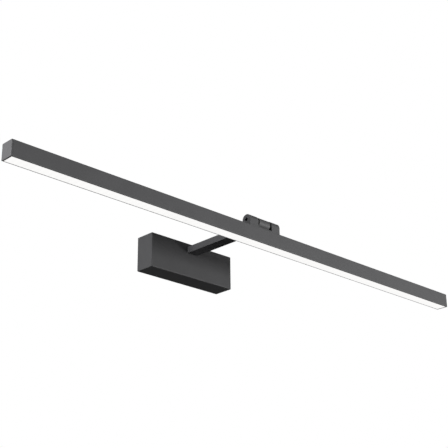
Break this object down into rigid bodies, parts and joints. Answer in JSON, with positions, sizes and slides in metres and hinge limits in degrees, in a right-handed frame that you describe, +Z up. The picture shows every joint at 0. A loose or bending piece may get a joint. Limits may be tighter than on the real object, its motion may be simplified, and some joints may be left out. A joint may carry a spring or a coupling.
{
  "type": "picture light",
  "caption": "Wall-mounted linear LED picture light: shallow wall box, square arm, friction hinge and a long slim lamp bar with an opal diffuser underneath.",
  "frame": {"origin": "centre of the wall box on the wall plane", "axes": "+Z up, +X along the lamp bar, +Y into the wall; the arm reaches out towards -Y"},
  "size_m": [0.8, 0.1815, 0.0517],
  "materials": {
    "black_paint": "fine matte black powder coat",
    "black_anodised": "fine matte black powder coat on the extrusion",
    "black_screw": "black oxide",
    "zinc_steel": "bright zinc plate",
    "bare_steel": "turned steel",
    "spring_steel": "blued spring steel",
    "tinned_metal": "tinned copper",
    "brass_metal": "plain brass",
    "black_rubber": "matte rubber",
    "black_nylon": "black nylon",
    "black_nylon_washer": "blackened steel",
    "white_nylon": "natural white nylon",
    "green_wire": "green and yellow PVC insulation",
    "brown_wire": "brown PVC insulation",
    "blue_wire": "blue PVC insulation",
    "black_lead": "black PVC sheath",
    "board_green": "green solder mask",
    "board_white": "white solder mask on aluminium",
    "ferrite": "dark grey ferrite",
    "yellow_tape": "yellow polyester tape",
    "can_sleeve": "dark shrink sleeve",
    "foam_tape": "white foam tape",
    "grey_tape": "grey thermal tape",
    "opal_diffuser": "opal acrylic, lit",
    "led_package": "white package with yellow phosphor",
    "resistor_black": "black resistor body"
  },
  "bodies": {
    "wall_unit": {"wall_bracket": "zinc_steel", "cable_grommet": "black_rubber", "box_cover": "black_paint", "cover_screws": "black_screw", "terminal_block": "white_nylon", "terminal_screws": "zinc_steel", "terminal_fixing_screw": "zinc_steel", "earth_screw": "brass_metal", "earth_washer": "brass_metal", "earth_lug": "tinned_metal", "earth_wire": "green_wire", "live_wire": "brown_wire", "neutral_wire": "blue_wire", "driver_case": "white_nylon", "driver_lid": "white_nylon", "driver_board": "board_green", "driver_transformer": "ferrite", "driver_winding": "yellow_tape", "driver_capacitors": "can_sleeve", "driver_tape": "foam_tape", "arm_tube": "black_paint", "arm_foot": "bare_steel", "arm_backing_plate": "zinc_steel", "arm_screws": "zinc_steel", "arm_spring_washers": "zinc_steel", "arm_grub_screws": "black_screw", "arm_grommet": "black_rubber", "arm_lead": "black_lead", "hinge_knuckle": "black_paint", "hollow_pivot": "bare_steel", "friction_washers": "black_nylon"},
    "lamp": {"hinge_bracket": "black_paint", "pivot_screw": "black_screw", "wave_washer": "spring_steel", "spacer_washer": "black_nylon_washer", "lamp_profile": "black_anodised", "end_cap_left": "black_paint", "end_cap_right": "black_paint", "diffuser": "opal_diffuser", "led_board": "board_white", "thermal_tape": "grey_tape", "led_chips": "led_package", "led_resistors": "resistor_black", "wire_connector": "white_nylon", "lead_bush": "black_rubber", "bracket_screws": "zinc_steel", "bracket_washers": "zinc_steel", "lamp_lead": "black_lead"}
  },
  "joints": [
    {"name": "lamp_tilt", "type": "hinge", "parent": "wall_unit", "child": "lamp", "pos_m": [0, -0.167, 0.0153], "axis": [1, 0, 0], "range_deg": [-145, 35]}
  ]
}
